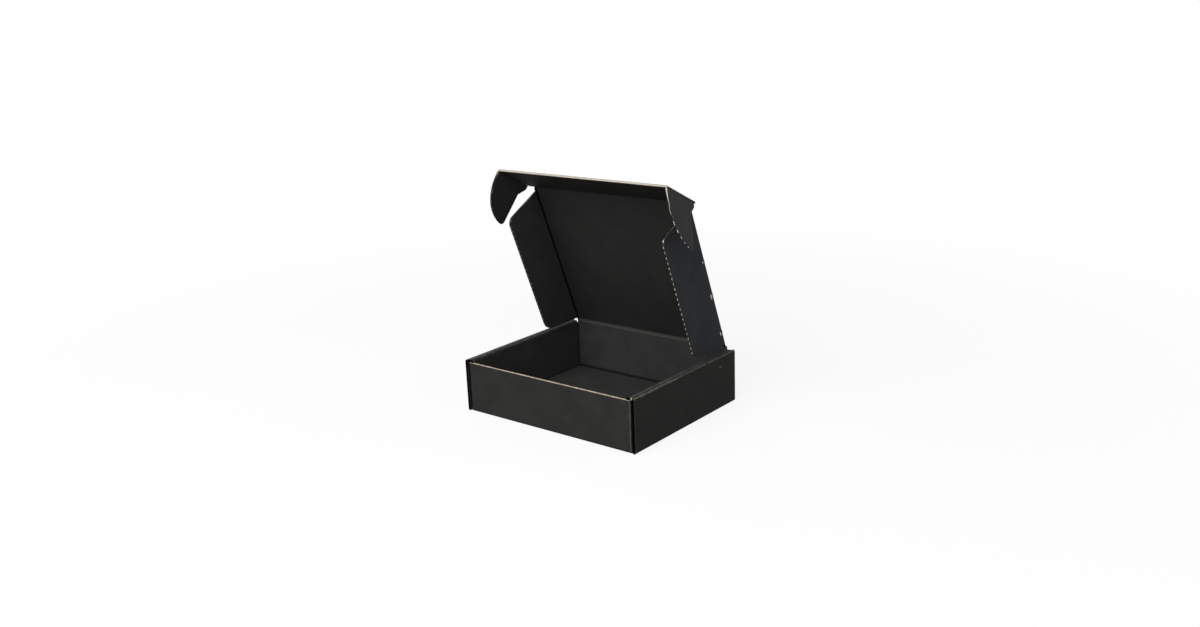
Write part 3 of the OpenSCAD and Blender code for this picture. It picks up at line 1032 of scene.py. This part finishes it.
# %% Place the crumbs
def crumbs(name, body, ends, values):
    """Keeps the crumbs along an edge as a plain mesh that rides on a body."""
    mesh = bpy.data.meshes.new(name)
    mesh.from_pydata(ends, [(0, 1)], [])
    piece = new_object(name, mesh)
    maker = piece.modifiers.new("crumbs", "NODES")
    maker.node_group = bpy.data.node_groups["edge_crumbs"]
    for item in maker.node_group.interface.items_tree:
        if item.item_type == "SOCKET" and item.in_out == "INPUT" and item.name in values:
            maker[item.identifier] = values[item.name]
    evaluated = piece.evaluated_get(bpy.context.evaluated_depsgraph_get())
    made = bpy.data.meshes.new_from_object(evaluated)
    piece.modifiers.remove(maker)
    piece.data = made
    made.name = name
    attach(piece, body)
    print(f"{name}: {len(made.polygons)} faces")


crumb_y = front_face + 0.45 * MM
crumbs("front_wall_crumbs", tray_body,
       [(-slot_in + 1.5 * MM, crumb_y, front_top), (slot_in - 2.5 * MM, crumb_y, front_top)],
       {"Crumbs": 420, "Length": 0.45 * MM, "Width": 0.14 * MM, "Spread": 0.25 * MM,
        "Out": (0, -0.2, 1.0), "Seed": 4, "Paper": torn_edge})
crumbs_end = X * (tuck_end - 3 * MM)
crumbs("tuck_crumbs", tuck_body, [tuck_top - crumbs_end, tuck_top + crumbs_end],
       {"Crumbs": 460, "Length": 0.5 * MM, "Width": 0.2 * MM, "Spread": 0.45 * MM,
        "Out": tuple(tuck_way), "Seed": 9, "Paper": torn_edge})

# %% [markdown]
# ## Camera
#
# The camera stands to the front right, a little above the lid, at the distance and angle
# that were worked out from the corners of the box in the picture. In the frame the box fills
# a little under a quarter of the width.

# %% Set the camera
camera_data = bpy.data.cameras.new("camera")
camera_data.sensor_width = 36
camera_data.sensor_fit = "HORIZONTAL"
camera_data.lens = 34.933
camera = new_object("camera", camera_data)
right = Vector((0.781649, 0.622613, -0.037126))
down = Vector((0.145233, -0.239571, -0.959955))
ahead = Vector((-0.606575, 0.744955, -0.277684))
spot = Vector((0.79054, -0.96782, 0.47026))
camera.matrix_world = Matrix((
    (right.x, -down.x, -ahead.x, spot.x),
    (right.y, -down.y, -ahead.y, spot.y),
    (right.z, -down.z, -ahead.z, spot.z),
    (0, 0, 0, 1),
))
bpy.context.scene.camera = camera
print("camera at", tuple(round(v, 3) for v in spot))

# %% [markdown]
# ## Studio
#
# Four soft lamps in front, from low to high, light the front wall and reach the inside of
# the back wall. Three weaker ones from the right and from behind keep the side walls
# darker, as in the picture. More light would make the floor white, but the box as well. So
# the camera sees the floor mostly as plain white, and the small lit share of it still takes
# the soft shadow of the box. Away from the box it fades to the plain white of the world, so
# no edge shows.

# %% Set the floor, the world and the lamps
AMBIENT = 0.14  # strength of the world as a light; the camera sees it at 1
FLOOR_GLOW = 0.86  # share of plain white in the floor near the box, as the camera sees it
FADE_FROM, FADE_TO = 0.3, 1.2  # from here to there, in metres, the floor turns plain white
WHITE = (1, 1, 1, 1)
FLOOR_LIT, FLOOR_SEEN = (0.34, 0.34, 0.34, 1), (0.97, 0.97, 0.97, 1)
FLOOR_SIZE = 4
LAMP_SIZE = 1.0
LAMP_AIM = Vector((0, 0, 0.1))
LAMPS = (
    ("front_left", (-0.5, -1.5, 1.3), 13.4),
    ("front_right", (0.6, -1.4, 1.3), 13),
    ("above", (0.0, -1.2, 1.8), 9.8),
    ("low_front", (0.1, -1.8, 0.7), 5),
    ("right_side", (1.6, -0.6, 0.8), 4.2),
    ("back_right", (1.1, 1.3, 1.0), 5),
    ("back_left", (-1.4, 1.0, 1.0), 4),
)


def seen_directly(tree):
    """1 for what the camera sees, also in a mirror or through glass, and 0 for lighting."""
    ray = add(tree, "ShaderNodeLightPath").outputs
    mirrored = calc(tree, "MAXIMUM", ray["Is Camera Ray"], ray["Is Glossy Ray"])
    return calc(tree, "MAXIMUM", mirrored, ray["Is Transmission Ray"])


world = bpy.data.worlds.new("studio")
bpy.context.scene.world = world
world.use_nodes = True
tree = world.node_tree
sky = tree.nodes["Background"]
strength = calc(tree, "ADD", AMBIENT, calc(tree, "MULTIPLY", seen_directly(tree), 1 - AMBIENT))
plug(tree, strength, sky.inputs["Strength"])
sky.inputs["Color"].default_value = WHITE

floor_mesh = bpy.data.meshes.new("paper_floor")
corners = [(x * FLOOR_SIZE, y * FLOOR_SIZE, 0) for x, y in ((-1, -1), (1, -1), (1, 1), (-1, 1))]
floor_mesh.from_pydata(corners, [], [(0, 1, 2, 3)])
floor = new_object("paper_floor", floor_mesh)
white, tree, paper = new_material("white_paper")
paper.inputs["Roughness"].default_value = 0.9
glow = add(tree, "ShaderNodeEmission", {"Color": WHITE, "Strength": 1.0}).outputs[0]
seen = seen_directly(tree)
plug(tree, blend_colour(tree, seen, FLOOR_LIT, FLOOR_SEEN), paper.inputs["Base Color"])
place = add(tree, "ShaderNodeTexCoord").outputs["Object"]
away = add(tree, "ShaderNodeVectorMath", {0: place}, operation="LENGTH").outputs["Value"]
share = calc(tree, "MULTIPLY", seen, step(tree, away, FADE_FROM, FADE_TO, FLOOR_GLOW, 1.0))
mix = add(tree, "ShaderNodeMixShader", {0: share, 1: paper.outputs[0], 2: glow}).outputs[0]
plug(tree, mix, tree.nodes["Material Output"].inputs["Surface"])
floor_mesh.materials.append(white)
floor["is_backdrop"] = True

for name, place, watts in LAMPS:
    light = bpy.data.lights.new(name, "AREA")
    light.size, light.energy = LAMP_SIZE, watts
    lamp = new_object(name, light)
    lamp.location = place
    lamp.rotation_euler = (LAMP_AIM - Vector(place)).to_track_quat("-Z", "Y").to_euler()
bpy.context.scene.view_settings.view_transform = "Standard"
print("lamps:", ", ".join(name for name, _, _ in LAMPS))

# %% Print the sizes and finish
shown_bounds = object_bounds()
for word, bounds in (("packed", packed_bounds), ("shown", shown_bounds)):
    print(word, [round(v, 4) for corner in bounds for v in corner])
